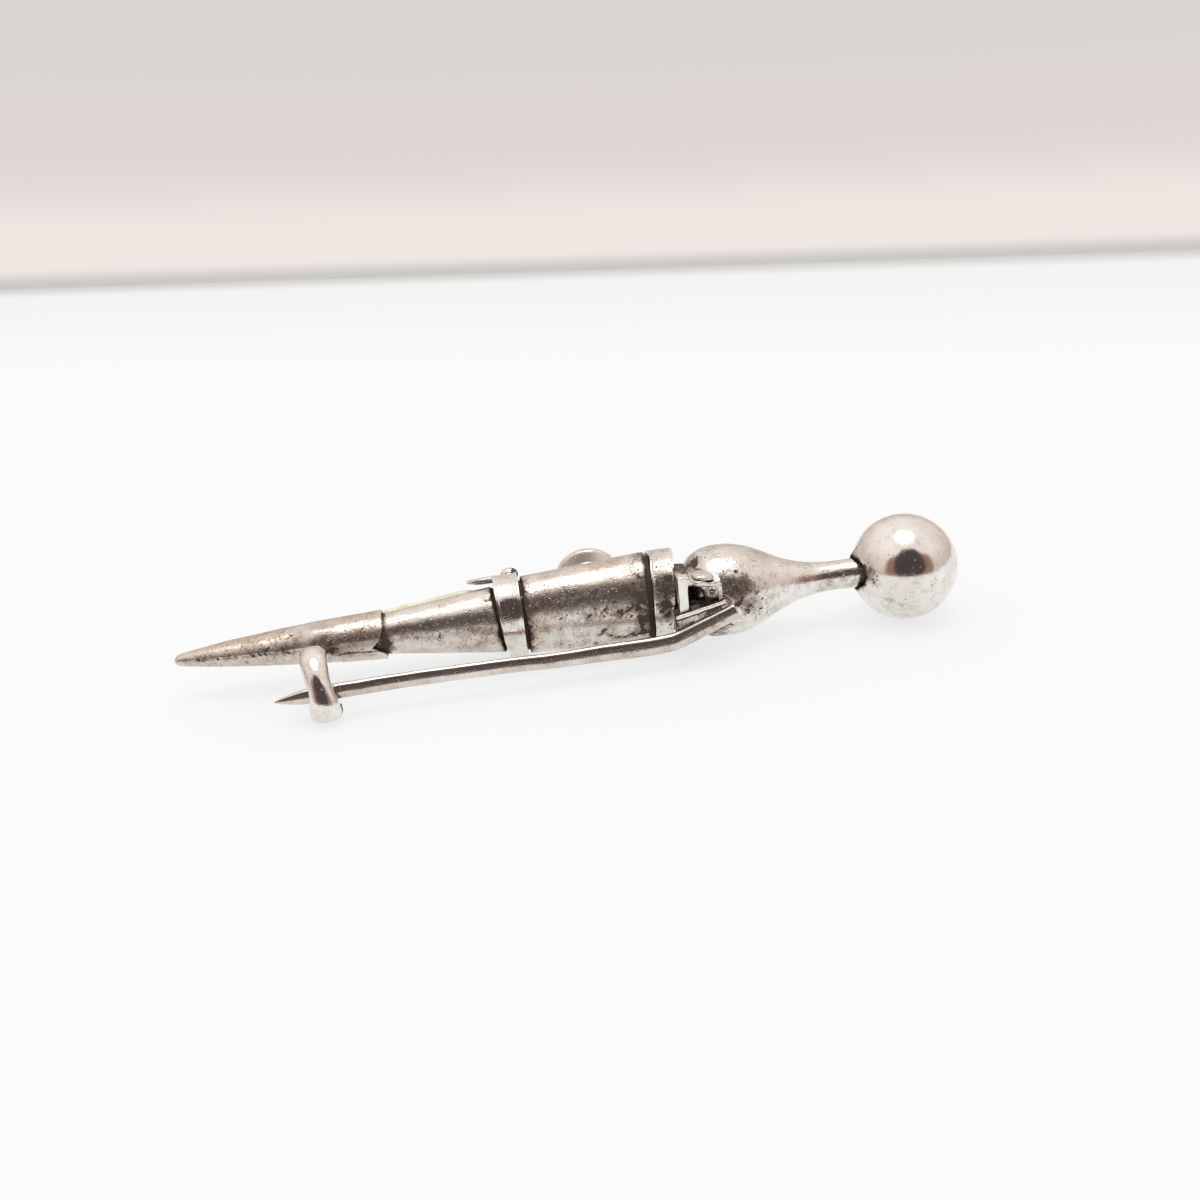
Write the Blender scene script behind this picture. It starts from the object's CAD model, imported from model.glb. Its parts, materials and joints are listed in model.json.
"""Looks of the silver kilt pin: surfaces, finishes, board, light and camera on the CAD frame.

Every shape is worked out in the brooch's own frame in millimetres: X runs along the axis from the
scabbard's tip to the ball, -Y is the back with the pin, Z is up. Angles round the axis start at the
back and grow towards the top. laid() takes the points to the row frame in metres."""
import json
import math

import bpy
import numpy as np
from mathutils import Matrix, Vector


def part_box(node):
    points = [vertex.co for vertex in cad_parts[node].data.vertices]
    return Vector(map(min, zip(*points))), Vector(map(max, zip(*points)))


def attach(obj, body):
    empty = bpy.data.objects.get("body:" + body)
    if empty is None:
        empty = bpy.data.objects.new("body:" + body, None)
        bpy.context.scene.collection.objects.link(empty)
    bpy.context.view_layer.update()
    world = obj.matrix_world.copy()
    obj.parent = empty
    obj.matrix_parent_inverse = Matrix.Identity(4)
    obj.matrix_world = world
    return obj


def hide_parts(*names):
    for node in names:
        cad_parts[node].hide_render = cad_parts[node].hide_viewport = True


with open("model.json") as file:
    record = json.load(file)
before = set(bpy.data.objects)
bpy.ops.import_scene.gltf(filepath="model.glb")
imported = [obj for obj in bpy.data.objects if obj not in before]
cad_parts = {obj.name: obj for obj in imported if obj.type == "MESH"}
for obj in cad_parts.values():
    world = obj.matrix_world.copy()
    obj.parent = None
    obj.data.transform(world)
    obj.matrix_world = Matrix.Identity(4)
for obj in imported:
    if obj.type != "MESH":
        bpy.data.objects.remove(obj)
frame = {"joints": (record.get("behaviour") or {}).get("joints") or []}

bl_info = {
    "name": "Kilt pin surfaces",
    "version": (1, 0, 0),
    "blender": (4, 5, 0),
    "location": "View3D > Sidebar > Kilt pin",
    "description": "Builds the worn silver surfaces of a dirk kilt pin on its CAD frame",
    "category": "Object",
}

# Millimetres in a metre
MM = 1000

# Frame: the brooch's axis rises from the floor by TILT, and the ball's place comes from its solid
HINGE_LEAN = math.radians(12.6)
HINGE_AXIS = frame["joints"][0]["axis"]
TILT = math.atan2(-HINGE_AXIS[0], HINGE_AXIS[2]) - HINGE_LEAN
BALL_LOW, BALL_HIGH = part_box("ball")
BALL_R = (BALL_HIGH.z - BALL_LOW.z) / 2 * MM
BALL_X = 55.8
BALL_AT = np.array([BALL_HIGH.x * MM - BALL_R, (BALL_LOW.y + BALL_HIGH.y) / 2 * MM,
                    (BALL_LOW.z + BALL_HIGH.z) / 2 * MM])
# The ornament looks out of the front, turned up by this angle
FRONT_ROLL = math.radians(12)

# Places and radii that several pieces share
CHAPE_MOUTH = 15.65
SCABBARD_START = 13.36
MIDDLE_R = 3.2
THROAT_R = 3.74
NECK_END = 52.98
# Hinge: the underside of the lower lug on the rivet's axis, the rivet's head, and the bracket's sheet
HINGE_AT = (39.95, -3.5, .6)
HEAD_X = 39.5
LUG_SLOPE = math.radians(10)
LUG_START, LUG_END, LUG_HEIGHT = 37.5, 40.75, 2.98
SHEET_FRONT, SHEET_BACK = -1.3, -4.45
# Tarnish value in the recesses beside the bands
SEAM = 1.35

# Chape and handle: distance along the axis and radius
CHAPE = [[0, .28], [.35, .42], [1.6, .64], [4, .97], [6.3, 1.2], [8.7, 1.43], [11.1, 1.62],
         [13.5, 1.72], [15.3, 1.83], [CHAPE_MOUTH, 1.85]]
HANDLE = [[36.9, 2.75], [37.9, 2.42], [38.62, 2.28], [39.2, 2.88], [40.1, 3.34], [41.1, 3.52],
          [42.1, 3.49], [43.0, 3.34], [43.85, 3.06], [44.8, 2.6], [45.75, 2.12], [46.7, 1.73],
          [47.6, 1.45], [48.6, 1.25], [49.5, 1.15], [50.45, 1.11], [51.9, 1.15], [52.96, 1.15]]
# Wire: distance along, distance behind the axis, height and radius
WIRE = [[7.8, 6.62, -1.42, .05], [8.2, 6.6, -1.41, .2], [9.7, 6.52, -1.35, .53],
        [10.95, 6.45, -1.29, .58], [16.7, 5.95, -1.31, .58], [21, 5.65, -1.4, .58],
        [24.6, 5.45, -1.49, .58], [28.1, 5.2, -1.68, .61], [31.6, 5.02, -1.69, .66],
        [34.9, 4.87, -1.75, .7], [36.2, 4.8, -1.71, .7], [36.9, 4.8, -1.63, .69],
        [37.5, 4.8, -1.43, .67], [41.6, 4.8, .16, .61]]
# Edges of the two bands: height above the axis and distance along
BAND_LEFT = [[-3.3, 24.97], [-1.99, 24.74], [-.89, 24.56], [.39, 24.41], [1.47, 24.31], [2.4, 24.22],
             [3.3, 24.15]]
BAND_RIGHT = [[-3.3, 26.16], [0, 26.1], [3.3, 26.03]]
THROAT_LEFT = [[-3.8, 35.83], [-1.43, 35.81], [0, 35.77], [1.5, 35.8], [2.9, 35.87], [3.4, 35.94],
               [3.8, 36.1]]
THROAT_RIGHT = [[-3.8, 37.02], [-1.47, 37.18], [.4, 37.34], [1.47, 37.47], [2.42, 37.6], [3.3, 37.72],
                [3.8, 37.8]]


# Curves and fields

def value(rows, x, column=1):
    """Smooth value of a table at x: a cubic between two rows, whose slope at a row is that of the line
    from the row before it to the row after it."""
    rows = np.asarray(rows, float)
    a, v = rows[:, 0], rows[:, column]
    slope = np.gradient(v, a)
    slope[1:-1] = (v[2:] - v[:-2]) / (a[2:] - a[:-2])
    x = np.clip(x, a[0], a[-1])
    i = np.clip(np.searchsorted(a, x, side="right") - 1, 0, len(a) - 2)
    h = a[i + 1] - a[i]
    t = (x - a[i]) / h
    return (v[i] * (2 * t**3 - 3 * t**2 + 1) + v[i + 1] * (3 * t**2 - 2 * t**3)
            + slope[i] * h * (t**3 - 2 * t**2 + t) + slope[i + 1] * h * (t**3 - t**2))


def ease(lo, hi, x):
    """Goes smoothly from 0 at lo to 1 at hi."""
    t = np.clip((x - lo) / (hi - lo), 0, 1)
    return t * t * (3 - 2 * t)


def bell(x, middle, width):
    """1 at the middle, falling to both sides as exp(-t^2) of the distance in widths."""
    return np.exp(-((x - middle) / width)**2)


def power(x, exponent):
    """Power of the size of x, with its sign kept."""
    return np.sign(x) * np.abs(x)**exponent


def circle(count):
    """Angles of one turn, in radians, from the front round by the bottom."""
    return np.linspace(-math.pi, math.pi, count, endpoint=False)


def unit(turn):
    """Points on the unit circle at those angles."""
    return np.stack([np.cos(turn), np.sin(turn)], -1)


def spun(a, b, angle):
    """Two coordinates turned by an angle, the first towards the second."""
    c, s = math.cos(angle), math.sin(angle)
    return a * c - b * s, a * s + b * c


def lengths(path):
    """Distance along a path at each of its points."""
    return np.concatenate([[0], np.cumsum(np.linalg.norm(np.diff(path, axis=0), axis=1))])


def waves(points, size, seed, count=24):
    """Smooth unevenness of about -1 to 1 with bumps of that size: sines in random directions, summed."""
    random = np.random.default_rng(seed)
    way = random.normal(size=(count, points.shape[-1])) * 3.6 / size
    turn = random.uniform(0, 2 * math.pi, count)
    return np.sin(points @ way.T + turn).sum(-1) / math.sqrt(count)


def around(x, r, turn):
    """Points at distance x along the axis, radius r and angle turn."""
    x, r, turn = np.broadcast_arrays(x, r, turn)
    return np.stack([x, -r * np.cos(turn), r * np.sin(turn)], -1)


def oval(x, r, turn, flat):
    """As around(), with the section pressed flat from back to front by a factor: the height seen from the
    back stays, the lower half keeps within the radius, and the flat sides follow the front's roll."""
    x, r, turn, flat = np.broadcast_arrays(x, r, turn, flat)
    # Shares of the height and of the depth in what is seen from 34 degrees above the flat side
    upright_share, level_share = .687, .313
    tall = 1 / np.sqrt(upright_share + level_share * flat**2)
    p = turn + FRONT_ROLL
    out = r * flat * tall * np.cos(p)
    side = r * np.where(np.sin(p) > 0, tall, np.minimum(tall, .99)) * np.sin(p)
    back, up = spun(out, side, -FRONT_ROLL)
    return np.stack([x, -back, up], -1)


def flatness(x):
    """How far the sheet is pressed flat at a distance along the axis."""
    return np.interp(x, [13, 16, 24, 26.2, 27.2, 37.5], [1, .95, .92, .88, .8, .8])


def rolled(points, angle=0.0):
    """Turns points about the axis; an angle of 0 takes +Y to the front, where the ornament looks."""
    y, z = spun(points[..., 1], points[..., 2], FRONT_ROLL + angle)
    return np.stack([points[..., 0], y, z], -1)


def laid(points):
    """From the brooch's own frame in millimetres to the row frame in metres."""
    x, z = spun(points[..., 0] - BALL_X, points[..., 2], TILT)
    return (np.stack([x, points[..., 1], z], -1) + BALL_AT) / MM


def angles(points):
    """Angle round the axis of each point, in degrees."""
    return np.degrees(np.arctan2(points[..., 2], -points[..., 1]))


def spots(points, places):
    """Sum of soft round marks on a round piece: each is (x, angle in degrees, radius in mm, strength)."""
    turn, r = angles(points), np.hypot(points[..., 1], points[..., 2])
    total = np.zeros(points.shape[:-1])
    for x, angle, size, strength in places:
        round_by = np.radians((turn - angle + 180) % 360 - 180) * r
        total += strength * bell(np.hypot(points[..., 0] - x, round_by), 0, size)
    return total


def spots_at(points, places):
    """Sum of soft round marks: each is (x, y, z, radius, strength)."""
    total = np.zeros(points.shape[:-1])
    for x, y, z, size, strength in places:
        total += strength * bell(np.linalg.norm(points - np.array([x, y, z]), axis=-1), 0, size)
    return total


# Shells

def joined(*parts):
    """Rings end to end with the tarnish at each point: a part is its rings and their tarnish."""
    rings = [np.asarray(part) for part, _ in parts]
    tarnish = [np.broadcast_to(given, part.shape[:2]) for part, (_, given) in zip(rings, parts)]
    return np.concatenate(rings), np.concatenate(tarnish)


class Surface:
    """Closed shells of one piece in the brooch's own frame, with a tarnish value at every point."""

    def __init__(self):
        self.points, self.faces, self.tarnish, self.count = [], [], [], 0

    def add(self, rings, tarnish=0.0):
        """Adds a closed shell. rings is a grid of points, one ring after another. Quads join neighbouring
        rings, a fan to its middle closes each end, and the faces turn outward by the volume's sign."""
        n, m = rings.shape[:2]
        tarnish = np.broadcast_to(tarnish, (n, m))
        points = np.concatenate([rings.reshape(-1, 3), [rings[0].mean(0), rings[-1].mean(0)]])
        ring, k = np.meshgrid(np.arange(n - 1), np.arange(m), indexing="ij")
        a, b = ring * m + k, ring * m + (k + 1) % m
        quads = np.stack([a, b, b + m, a + m], -1).reshape(-1, 4)
        k = np.arange(m)
        start = np.stack([np.full(m, n * m), (k + 1) % m, k], -1)
        end = np.stack([np.full(m, n * m + 1), (n - 1) * m + k, (n - 1) * m + (k + 1) % m], -1)
        flat = np.concatenate([quads[:, :3], quads[:, [0, 2, 3]], start, end])
        p = points - points.mean(0)
        volume = np.einsum("ij,ij->i", p[flat[:, 0]], np.cross(p[flat[:, 1]], p[flat[:, 2]])).sum()
        step = 1 if volume > 0 else -1
        for block in (quads, start, end):
            self.faces += (block[:, ::step] + self.count).tolist()
        self.points.append(points)
        self.tarnish.append(np.concatenate([tarnish.reshape(-1), tarnish[[0, -1]].mean(1)]))
        self.count += len(points)

    def build(self, name, material, body, slot, *nodes, sharp=38):
        """Makes the mesh object, rides it on its body and shows it in place of the CAD nodes."""
        mesh = bpy.data.meshes.new(name)
        mesh.from_pydata(laid(np.concatenate(self.points)).tolist(), [], self.faces)
        mesh.attributes.new("tarnish", "FLOAT", "POINT").data.foreach_set(
            "value", np.clip(np.concatenate(self.tarnish), 0, 1.5).astype(np.float32))
        mesh.shade_smooth()
        mesh.set_sharp_from_angle(angle=math.radians(sharp))
        mesh.materials.append(material)
        mesh.validate()
        piece = bpy.data.objects.new(name, mesh)
        bpy.context.scene.collection.objects.link(piece)
        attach(piece, body)
        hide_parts(*nodes)
        return piece


def rounded(outline, corner, count):
    """Closed outline of that many points round the corners of a polygon, each cut by a smooth curve."""
    outline = np.asarray(outline, float)
    before, after = np.roll(outline, 1, 0), np.roll(outline, -1, 0)
    t = np.linspace(0, 1, 9)[:, None]
    most = .45
    path = []
    for p, q, s in zip(before, outline, after):
        a = q + (p - q) * min(most, corner / np.linalg.norm(p - q))
        b = q + (s - q) * min(most, corner / np.linalg.norm(s - q))
        path.append(a * (1 - t)**2 + 2 * q * t * (1 - t) + b * t**2)
    path = np.concatenate(path + [path[0][:1]])
    run = lengths(path)
    at = np.linspace(0, run[-1], count, endpoint=False)
    return np.stack([np.interp(at, run, path[:, 0]), np.interp(at, run, path[:, 1])], -1)


def plate(outline, low, high, edge, place, corner=.2, count=120, rough=.012, seed=1):
    """Rings of a flat plate with rounded edges between two heights. The outline is pulled in along its
    normals by a quarter round at each edge, and place() takes its two coordinates and the height to the
    brooch's frame."""
    line = rounded(outline, corner, count)
    along = np.roll(line, -1, 0) - np.roll(line, 1, 0)
    out = np.stack([along[:, 1], -along[:, 0]], -1) / np.linalg.norm(along, axis=1)[:, None]
    area = (line[:, 0] * np.roll(line[:, 1], -1) - line[:, 1] * np.roll(line[:, 0], -1)).sum()
    out *= np.sign(area)
    # Way in and height of each ring: two on the flat, the round, the middle, and the same again
    quarter = np.linspace(0, math.pi / 2, 6)
    near, far = edge * 1.8, edge * 3.2
    steps = [(far, low), (near, low)]
    steps += [(edge * (1 - math.sin(a)), low + edge * (1 - math.cos(a))) for a in quarter]
    steps += [(0, (low + high) / 2)]
    steps += [(edge * (1 - math.cos(a)), high - edge * (1 - math.sin(a))) for a in quarter]
    steps += [(near, high), (far, high)]
    rings = np.array([place(*(line - out * inset).T, np.full(count, height)) for inset, height in steps])
    return rings + rough * np.stack([waves(rings, .9, seed + i) for i in range(3)], -1)


def turned_surface(rows, place, count, step, tarnish, s=None):
    """Turned solid from its outline of (height, radius): points at even steps along it, corners eased by
    the mean of three, go round in circles. place() takes two coordinates across and the height."""
    s = s or Surface()
    rows = np.asarray(rows, float)
    run = lengths(rows)
    at = np.linspace(0, run[-1], int(run[-1] / step) + 2)
    h, r = np.interp(at, run, rows[:, 0]), np.interp(at, run, rows[:, 1])
    three = np.ones(3) / 3
    h[1:-1], r[1:-1] = np.convolve(h, three, "valid"), np.convolve(r, three, "valid")
    a = circle(count)
    s.add(place(r[:, None] * np.cos(a), r[:, None] * np.sin(a), h[:, None] + 0 * a), tarnish)
    return s


# Finishes

# Bumps per metre in the silver's noises, and in its hair scratches along, across and up the piece
CLOUDS, LINES, PATCHES, LUMPS, PIT_CELLS, GRAIN = 330.0, 1150.0, 1250.0, 2300.0, 3400.0, 4700.0
SCRATCHES = (260.0, 5200.0, 5200.0)


class Nodes:
    """Short way to add nodes to a tree and to link them."""

    def __init__(self, tree):
        self.tree = tree
        tree.nodes.clear()

    def add(self, kind, inputs=(), **settings):
        """Adds a node with these settings. inputs gives values or links by socket name or index."""
        node = self.tree.nodes.new(kind)
        for name, setting in settings.items():
            setattr(node, name, setting)
        for key, given in dict(inputs).items():
            if isinstance(given, bpy.types.NodeSocket):
                self.tree.links.new(given, node.inputs[key])
            else:
                node.inputs[key].default_value = given
        return node

    def math(self, operation, a, b=0.0, c=0.0, clamp=False):
        """Result of a sum or another operation on up to three values."""
        return self.add("ShaderNodeMath", {0: a, 1: b, 2: c}, operation=operation,
                        use_clamp=clamp).outputs[0]

    def along(self, vector, direction):
        """Length of a vector along a fixed direction."""
        return self.add("ShaderNodeVectorMath", {0: vector, 1: tuple(direction)},
                        operation="DOT_PRODUCT").outputs["Value"]

    def step(self, given, lo, hi):
        """Smooth step of a value, from 0 at lo to 1 at hi."""
        return self.add("ShaderNodeMapRange", {0: given, 1: lo, 2: hi, 3: 0.0, 4: 1.0},
                        interpolation_type="SMOOTHSTEP").outputs[0]

    def mix(self, factor, a, b):
        """Mix of two colours."""
        return self.add("ShaderNodeMix", {0: factor, 6: a, 7: b}, data_type="RGBA").outputs[2]

    def noise(self, where, scale, detail=3.0, roughness=.55):
        """Smooth noise round one half, with that many bumps to the metre."""
        return self.add("ShaderNodeTexNoise", {"Vector": where, "Scale": scale, "Detail": detail,
                                               "Roughness": roughness}).outputs[0]


def colour(rgb, factor=(1, 1, 1)):
    """Opaque colour, each part scaled by its factor."""
    return (*(part * by for part, by in zip(rgb, factor)), 1.0)


def new_material(name):
    """Empty material and the way to add its nodes."""
    material = bpy.data.materials.new(name)
    material.use_nodes = True
    return material, Nodes(material.node_tree)


def silver_tarnish(n, where, worn, middle, fine):
    """Brown bloom first, then black specks that grow together where the value is high. Gives both, and
    the lumps of the black crust."""
    lumps = n.math("MULTIPLY", n.noise(where, LUMPS, 4.0, .6), .75)
    lumps = n.math("MULTIPLY_ADD", fine, .25, lumps)
    black = n.step(n.math("ADD", worn, n.math("MULTIPLY_ADD", lumps, 4.4, -2.2)), .80, .91)
    brown = n.math("ADD", worn, n.math("MULTIPLY_ADD", middle, 1.6, -.8))
    brown = n.step(n.math("ADD", brown, n.math("MULTIPLY_ADD", fine, .9, -.45)), .2, .95)
    return brown, black, n.math("MULTIPLY", black, lumps)


def silver_pits(n, where, worn, middle, share):
    """The middles of a few random cells, more of them where the metal is worn."""
    cells = n.add("ShaderNodeTexVoronoi", {"Vector": where, "Scale": PIT_CELLS}, feature="F1")
    chance = n.add("ShaderNodeSeparateColor", {0: cells.outputs["Color"]}).outputs[0]
    pit = n.math("SUBTRACT", 1.0, n.step(cells.outputs["Distance"], .08, .32))
    pit = n.math("MULTIPLY", pit, n.math("GREATER_THAN", chance, 1 - share))
    return n.math("MULTIPLY", pit, n.step(n.math("MULTIPLY_ADD", worn, .45, middle), .5, .68))


def silver_lines(n, where, worn, broad, grain):
    """Thin creeping lines where a noise passes through its middle, in the more worn patches."""
    line = n.math("ABSOLUTE", n.math("SUBTRACT", n.noise(where, LINES, 3.0, .6), .5))
    line = n.math("SUBTRACT", 1.0, n.step(line, .009, .022))
    line = n.math("MULTIPLY", line, n.step(n.math("MULTIPLY_ADD", worn, .6, broad), .5, .78))
    return n.math("MULTIPLY", line, grain * .6)


def silver(name, looks, film=.35, rough=0.0, mark=0.0, grain=1.0, pits=.3):
    """Worn silver on Object coordinates: a brown film in soft clouds, fine specks, thin creeping lines
    and pits. The tarnish value of the mesh, broken up by noise, turns it brown and then rough black.

    film darkens the clouds, rough and mark are added to the roughness and the tarnish, grain scales the
    relief and the creeping lines, and pits is the share of the random cells that may hold a pit."""
    material, n = new_material(name)
    where = n.add("ShaderNodeTexCoord").outputs["Object"]
    broad = n.noise(where, CLOUDS)
    middle = n.noise(where, PATCHES, 5.0, .65)
    fine = n.noise(where, GRAIN, 5.0, .7)
    worn = n.add("ShaderNodeAttribute", attribute_name="tarnish").outputs["Fac"]
    worn = n.math("MULTIPLY_ADD", worn, looks.tarnish, mark)
    brown, black, crust = silver_tarnish(n, where, worn, middle, fine)
    pit = silver_pits(n, where, worn, middle, pits)
    line = silver_lines(n, where, worn, broad, grain)
    cloud = n.math("MULTIPLY_ADD", broad, 1.1, n.math("MULTIPLY_ADD", middle, .7, -.9 + film), clamp=True)
    speck = n.math("MULTIPLY", n.step(fine, .44, .68), n.math("MULTIPLY_ADD", cloud, .35, .08))
    # Colour: from the bare metal up to the crust, each mark covers what is under it
    base = n.mix(cloud, colour(looks.silver), colour(looks.haze))
    for cover, shade in ((speck, colour(looks.haze, (.5, .5, .5))),
                         (n.math("MULTIPLY", brown, .85), colour(looks.brown)),
                         (line, colour(looks.brown)),
                         (n.math("MULTIPLY", pit, .7), colour(looks.dark)),
                         (black, colour(looks.dark))):
        base = n.mix(cover, base, shade)
    roughness = n.math("MULTIPLY_ADD", middle, .16, looks.roughness + rough - .08)
    roughness = n.math("MULTIPLY_ADD", brown, .14, roughness)
    roughness = n.math("MULTIPLY_ADD", black, .28, roughness, clamp=True)
    # Relief: grain, soft unevenness, hair scratches along the piece, pits, lines and the crust
    stretch = n.add("ShaderNodeMapping", {"Vector": where, "Scale": SCRATCHES}).outputs[0]
    relief = n.math("MULTIPLY", fine, .4 * grain)
    for field, height in ((middle, .75 * grain), (n.noise(stretch, 1.0, 2.0), .18 * grain), (pit, -.9),
                          (line, -.5), (crust, 1.3)):
        relief = n.math("MULTIPLY_ADD", field, height, relief)
    bump = n.add("ShaderNodeBump", {"Height": relief, "Strength": 1.0, "Distance": looks.relief})
    shader = n.add("ShaderNodeBsdfPrincipled", {
        "Base Color": base, "Metallic": n.math("MULTIPLY_ADD", black, -.7, 1.0), "Roughness": roughness,
        "Normal": bump.outputs[0]})
    n.add("ShaderNodeOutputMaterial", {"Surface": shader.outputs[0]})
    return material


def pale_agate(looks):
    """Pale yellow-green stone: light passes a little way into it, and soft clouds make it browner."""
    material, n = new_material("pale_agate")
    where = n.add("ShaderNodeTexCoord").outputs["Object"]
    cloud = n.step(n.noise(where, 420.0, 5.0, .6), .35, .7)
    base = n.mix(cloud, colour(looks.stone), colour(looks.stone, (.72, .74, .5)))
    shader = n.add("ShaderNodeBsdfPrincipled", {
        "Base Color": base, "Roughness": .16, "IOR": 1.54, "Subsurface Weight": 1.0,
        "Subsurface Radius": (1.0, 1.0, .45), "Subsurface Scale": .0012, "Coat Weight": .4,
        "Coat Roughness": .08}, subsurface_method="RANDOM_WALK")
    n.add("ShaderNodeOutputMaterial", {"Surface": shader.outputs[0]})
    return material


# Scabbard: chape, catch, both lengths, stone and boss

def chape_surface(wear):
    """Rolled sheath over the tip. The radius follows its table along the axis, the tip is rounded, the
    mouth's distance depends on the angle with a V notch behind, and a lapped edge stands out below."""
    s = Surface()
    turn = circle(300)
    degrees = np.degrees(turn)
    tip, even = .35, 12
    notch = np.interp(degrees, [-32, -29.5, -10.8, 9.4, 24, 37], [0, .07, .95, .3, .15, 0])
    mouth = CHAPE_MOUTH - notch + .025 * waves(unit(turn), .5, 3)
    x = np.concatenate([tip * (1 - np.cos(np.linspace(.06, 1.5, 12))), np.linspace(.4, even, 120),
                        np.linspace(12.1, 15.6, 42)])[:, None]
    r = value(CHAPE, x) * np.sqrt(np.clip(1 - (1 - np.minimum(x, tip) / tip)**2, 0, 1))
    # The rings are square to the axis up to a place, and from there lean to meet the uneven mouth
    x = np.where(x > even, even + (x - even) * (mouth - even) / (CHAPE_MOUTH - even), x)
    # A ridge runs down the back
    off = np.sqrt((degrees - 13)**2 + 3**2) - 3
    ridge = np.interp(x, [.2, 1, 7.5, 9.8, CHAPE_MOUTH], [.3, 1, 1, .25, .2])
    r = r * (1 + ridge * (.035 - .11 * (1 - np.exp(-off / 16)) * ease(110, 50, off)))
    # The metal swells round the catch's foot, with a small lump above it
    swell = np.exp(-np.abs((x - 10.95) / 1.25)**3) * ease(-70, -20, degrees) * ease(78, 46, degrees)
    r = r + .24 * swell + .05 * bell(x, 11.6, .5) * bell(degrees, 42, 16)
    # The lap stands out below, and the upper edge has a nick
    lap = ease(-17.2, -18.8, degrees) * ease(-120, -112, degrees) * ease(12.2, 12.32, x)
    r = r + .055 * lap - .05 * bell(x, 12.45, .12) * bell(degrees, 108, 9)
    plain = around(x, r, turn)
    bumps = .012 * waves(plain, 2.6, 5) + .006 * waves(plain, .9, 6)
    outer = around(x, r + wear.dents * np.minimum(r / 1.2, 1) * bumps, turn)
    # The sheet's rounded edge: way back from the mouth and way in from the outside
    lip = [around(mouth - back, value(CHAPE, mouth) - deep + .05 * lap[-1], turn)
           for back, deep in ((.02, .012), (0, .05), (-.012, .11), (0, .17), (.03, .21))]
    socket = [around(mouth - .15, 1.62, turn), around(SCABBARD_START - .04, 1.5, turn)]
    mark = .1 + .08 * ease(-4, 6, degrees) * ease(62, 40, degrees) + spots(outer, [
        (4.6, 33, .6, .12), (6.4, 27, 1.0, .12), (8.0, 20, 1.0, .16), (9.0, 14, .9, .2),
        (9.3, 40, .6, .15), (11.95, -4, .55, .75), (11.7, 12, .4, .6), (12.6, 8, .5, .25),
        (13.4, 18, .8, .16), (14.6, 22, .6, .12), (13.0, -23, .4, .3), (14.6, -27, .35, .3),
        (12.5, 106, .3, .3), (2.4, 10, .9, .15)])
    # Dirt lies along the lap's seam, and as a thin line and a broad shade along the back to the tip
    seam = bell(degrees, -17.5, 2.6) * ease(11.8, 12.4, x)
    line = .22 * bell(degrees, -1, 6) + .16 * bell(degrees, 16, 14)
    line = line * ease(.4, 1.5, x) * ease(10.2, 7, x)
    shade = .1 * ease(-4, 2, degrees) * ease(36, 16, degrees) * ease(10.5, 8.5, x)
    lip_mark = np.array([.1, .12, .3, .7, 1])[:, None]
    s.add(*joined((outer, mark + .55 * seam + line + shade), (lip, lip_mark), (socket, 1.0)))
    return s


def facing(a):
    """Direction out of the brooch's back and up by an angle, in the plane across the axis."""
    return np.stack([-np.cos(a), np.sin(a)], -1)


def catch_surface(wear):
    """Strip bent over and round under the pin. Its inner line follows a straight root and three arcs that
    meet without a kink. The half-round section slides along it and grows wider towards the bend."""
    s = Surface()
    thick = .7
    low, high, top, end = np.radians([10, 50, 113, -150])
    bend_r, arch_r, shoulder_r = 1.5, 4.4, 2.65
    # The bend rests on the floor, so its middle is its radius above it
    bend = np.array([-6.8, bend_r - BALL_AT[2] + (BALL_X - 9.93) * math.sin(TILT)])
    arch = bend + (bend_r - arch_r) * facing(low)
    shoulder = arch + (arch_r - shoulder_r) * facing(high)
    arcs = ((shoulder, shoulder_r, np.linspace(top, high, 60)),
            (arch, arch_r, np.linspace(high, low, 50)[1:]),
            (bend, bend_r, np.linspace(low, end, 110)[1:]))
    inner = np.concatenate([middle + (r - thick) * facing(a) for middle, r, a in arcs])
    root = np.linspace(3.3, .1, 20)[:, None] * np.array([math.sin(top), math.cos(top)])
    inner = np.concatenate([inner[0] + root, inner])
    out = facing(np.concatenate([np.full(20, top)] + [a for _, _, a in arcs]))
    run = lengths(inner)
    half = value([[0, .98], [4.5, .97], [5.4, .93], [7.0, .89], [7.95, 1.02], [9.1, 1.16], [10.3, 1.12]],
                 run)
    deep = np.interp(run, [0, 8, 9, run[-1]], [thick, thick, .64, .58])
    # The outer side is crowned, the inner one nearly flat; the cut end is rounded off
    f = circle(56)
    across = power(np.cos(f), np.where(np.sin(f) > 0, .95, .7))
    up = np.where(np.sin(f) > 0, np.abs(np.sin(f)), -.08 * np.abs(np.sin(f))**.7)
    close = np.sqrt(np.clip(1 - ease(run[-1] - .3, run[-1], run)**2, .02, 1))
    reach = (deep * close)[:, None] * up + (thick - deep)[:, None]
    y = inner[:, :1] + out[:, :1] * reach
    z = inner[:, 1:] + out[:, 1:] * reach
    # The strip leans towards the ball as it comes down, and its foot stands turned on the chape
    x = across * (half * close)[:, None] + .36 * ease(4.6, 8.4, run)[:, None] + .06
    foot_x, foot_y = 10.45, -1.5
    x, y = spun(x, y - foot_y, math.radians(4.5))
    rings = np.stack([foot_x + x, foot_y + y, z], -1)
    rings[..., 0] += wear.dents * .012 * waves(rings, 1.6, 11)
    # Dirt lies inside, along the far edge of the bend, and at the foot
    inside = np.clip(-up / .08, 0, 1)
    edge = np.clip(across, 0, 1)**8 * ease(7, 9, run)[:, None]
    s.add(rings, .08 + .75 * inside + .4 * edge + .45 * ease(3.9, 3.2, run)[:, None])
    return s


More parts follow.
